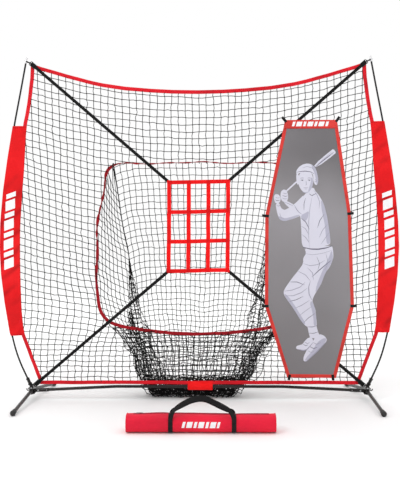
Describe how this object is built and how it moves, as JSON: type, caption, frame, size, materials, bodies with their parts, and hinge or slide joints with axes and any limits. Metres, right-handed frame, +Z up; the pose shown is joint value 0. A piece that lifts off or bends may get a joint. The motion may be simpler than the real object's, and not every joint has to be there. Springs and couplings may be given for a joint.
{
  "type": "pitching target net",
  "caption": "Bow-framed practice net with folding steel base, ball-catching pocket, strike-zone grid, hanging batter sheet and carry bag.",
  "frame": {"origin": "on the ground, under the middle of the kit's bounding box; the net's plane stands 0.181 m behind it", "axes": "+Z up, +X to the right of someone facing the net, +Y from the thrower towards the net and its pocket"},
  "size_m": [2.5322, 1.196, 2.1831],
  "materials": {
    "frame_steel": "gloss black powder coat",
    "hardware": "zinc-plated",
    "cap_rubber": "matte black",
    "fibreglass": "gloss black",
    "tip_plastic": "translucent white",
    "black_plastic": "matte black",
    "net_twine": "knotted black twine",
    "hem_webbing": "red webbing",
    "sleeve_cloth": "red woven polyester",
    "binding_webbing": "dark red webbing",
    "zone_webbing": "bright red webbing",
    "elastic": "black elastic webbing",
    "sheet_cloth": "grey mesh cloth",
    "sheet_border": "red binding",
    "bag_cloth": "red woven polyester"
  },
  "bodies": {
    "frame": {"batter_sheet": "sheet_cloth", "batter_sheet_border": "sheet_border", "button_springs": "hardware", "corner_bracket_left": "frame_steel", "corner_bracket_right": "frame_steel", "corner_loops": "elastic", "crossbar_coupler": "frame_steel", "crossbar_left": "frame_steel", "crossbar_right": "frame_steel", "crossbar_rivets": "hardware", "hem_bottom": "hem_webbing", "hem_side_left": "hem_webbing", "hem_side_right": "hem_webbing", "hem_tab": "hem_webbing", "hem_top": "hem_webbing", "net_face": "net_twine", "pivot_bolts": "hardware", "pivot_nuts": "hardware", "pocket_mouth_binding": "binding_webbing", "pocket_net": "net_twine", "pole_ferrules": "hardware", "pole_lower_left": "fibreglass", "pole_lower_right": "fibreglass", "pole_middle_left": "fibreglass", "pole_middle_right": "fibreglass", "pole_sleeve_left": "sleeve_cloth", "pole_sleeve_right": "sleeve_cloth", "pole_tip_left": "tip_plastic", "pole_tip_right": "tip_plastic", "pole_upper_left": "fibreglass", "pole_upper_right": "fibreglass", "sheet_hook_straps": "elastic", "snap_hook_bottom_left": "black_plastic", "snap_hook_bottom_right": "black_plastic", "snap_hook_top_left": "black_plastic", "snap_hook_top_right": "black_plastic", "strap_bottom_left": "elastic", "strap_bottom_right": "elastic", "strap_top_left": "elastic", "strap_top_right": "elastic", "strike_zone_rails": "zone_webbing", "strike_zone_uprights": "zone_webbing"},
    "leg_front_left": {"leg_front_left": "frame_steel", "foot_cap_front_left": "cap_rubber"},
    "leg_rear_left": {"leg_rear_left": "frame_steel", "foot_cap_rear_left": "cap_rubber"},
    "button_left": {"button_pin_left": "hardware"},
    "gate_top_left": {"hook_gate_top_left": "black_plastic"},
    "gate_bottom_left": {"hook_gate_bottom_left": "black_plastic"},
    "leg_front_right": {"leg_front_right": "frame_steel", "foot_cap_front_right": "cap_rubber"},
    "leg_rear_right": {"leg_rear_right": "frame_steel", "foot_cap_rear_right": "cap_rubber"},
    "button_right": {"button_pin_right": "hardware"},
    "gate_top_right": {"hook_gate_top_right": "black_plastic"},
    "gate_bottom_right": {"hook_gate_bottom_right": "black_plastic"},
    "bag": {"carry_bag": "bag_cloth", "carry_bag_bands": "elastic", "carry_bag_handles": "elastic", "carry_bag_zip": "bag_cloth"}
  },
  "joints": [
    {"name": "leg_front_right_fold", "type": "hinge", "parent": "frame", "child": "leg_front_right", "pos_m": [1.062, 0.153, 0.062], "axis": [0, 0, -1], "range_deg": [0, 86]},
    {"name": "leg_rear_right_fold", "type": "hinge", "parent": "frame", "child": "leg_rear_right", "pos_m": [1.062, 0.209, 0.062], "axis": [0, 0, 1], "range_deg": [0, 76]},
    {"name": "button_right_press", "type": "slide", "parent": "frame", "child": "button_right", "axis": [0, 1, 0], "range_m": [0, 0.0022], "stiffness_N_per_m": 500},
    {"name": "gate_top_right_open", "type": "hinge", "parent": "frame", "child": "gate_top_right", "pos_m": [1.0538, 0.174, 2.11643], "axis": [0, -1, 0], "range_deg": [0, 30], "stiffness_Nm_per_rad": 0.02, "springref_deg": -8.59},
    {"name": "gate_bottom_right_open", "type": "hinge", "parent": "frame", "child": "gate_bottom_right", "pos_m": [1.03367, 0.174, 0.11961], "axis": [0, 1, 0], "range_deg": [0, 30], "stiffness_Nm_per_rad": 0.02, "springref_deg": -8.59},
    {"name": "leg_front_left_fold", "type": "hinge", "parent": "frame", "child": "leg_front_left", "pos_m": [-1.062, 0.153, 0.062], "axis": [0, 0, 1], "range_deg": [0, 86]},
    {"name": "leg_rear_left_fold", "type": "hinge", "parent": "frame", "child": "leg_rear_left", "pos_m": [-1.062, 0.209, 0.062], "axis": [0, 0, -1], "range_deg": [0, 76]},
    {"name": "button_left_press", "type": "slide", "parent": "frame", "child": "button_left", "axis": [0, 1, 0], "range_m": [0, 0.0022], "stiffness_N_per_m": 500},
    {"name": "gate_top_left_open", "type": "hinge", "parent": "frame", "child": "gate_top_left", "pos_m": [-1.0538, 0.174, 2.11643], "axis": [0, 1, 0], "range_deg": [0, 30], "stiffness_Nm_per_rad": 0.02, "springref_deg": -8.59},
    {"name": "gate_bottom_left_open", "type": "hinge", "parent": "frame", "child": "gate_bottom_left", "pos_m": [-1.03367, 0.174, 0.11961], "axis": [0, -1, 0], "range_deg": [0, 30], "stiffness_Nm_per_rad": 0.02, "springref_deg": -8.59},
    {"name": "bag_lift", "type": "slide", "parent": "frame", "child": "bag", "axis": [0, 0, 1], "range_m": [0, 0.5]}
  ]
}
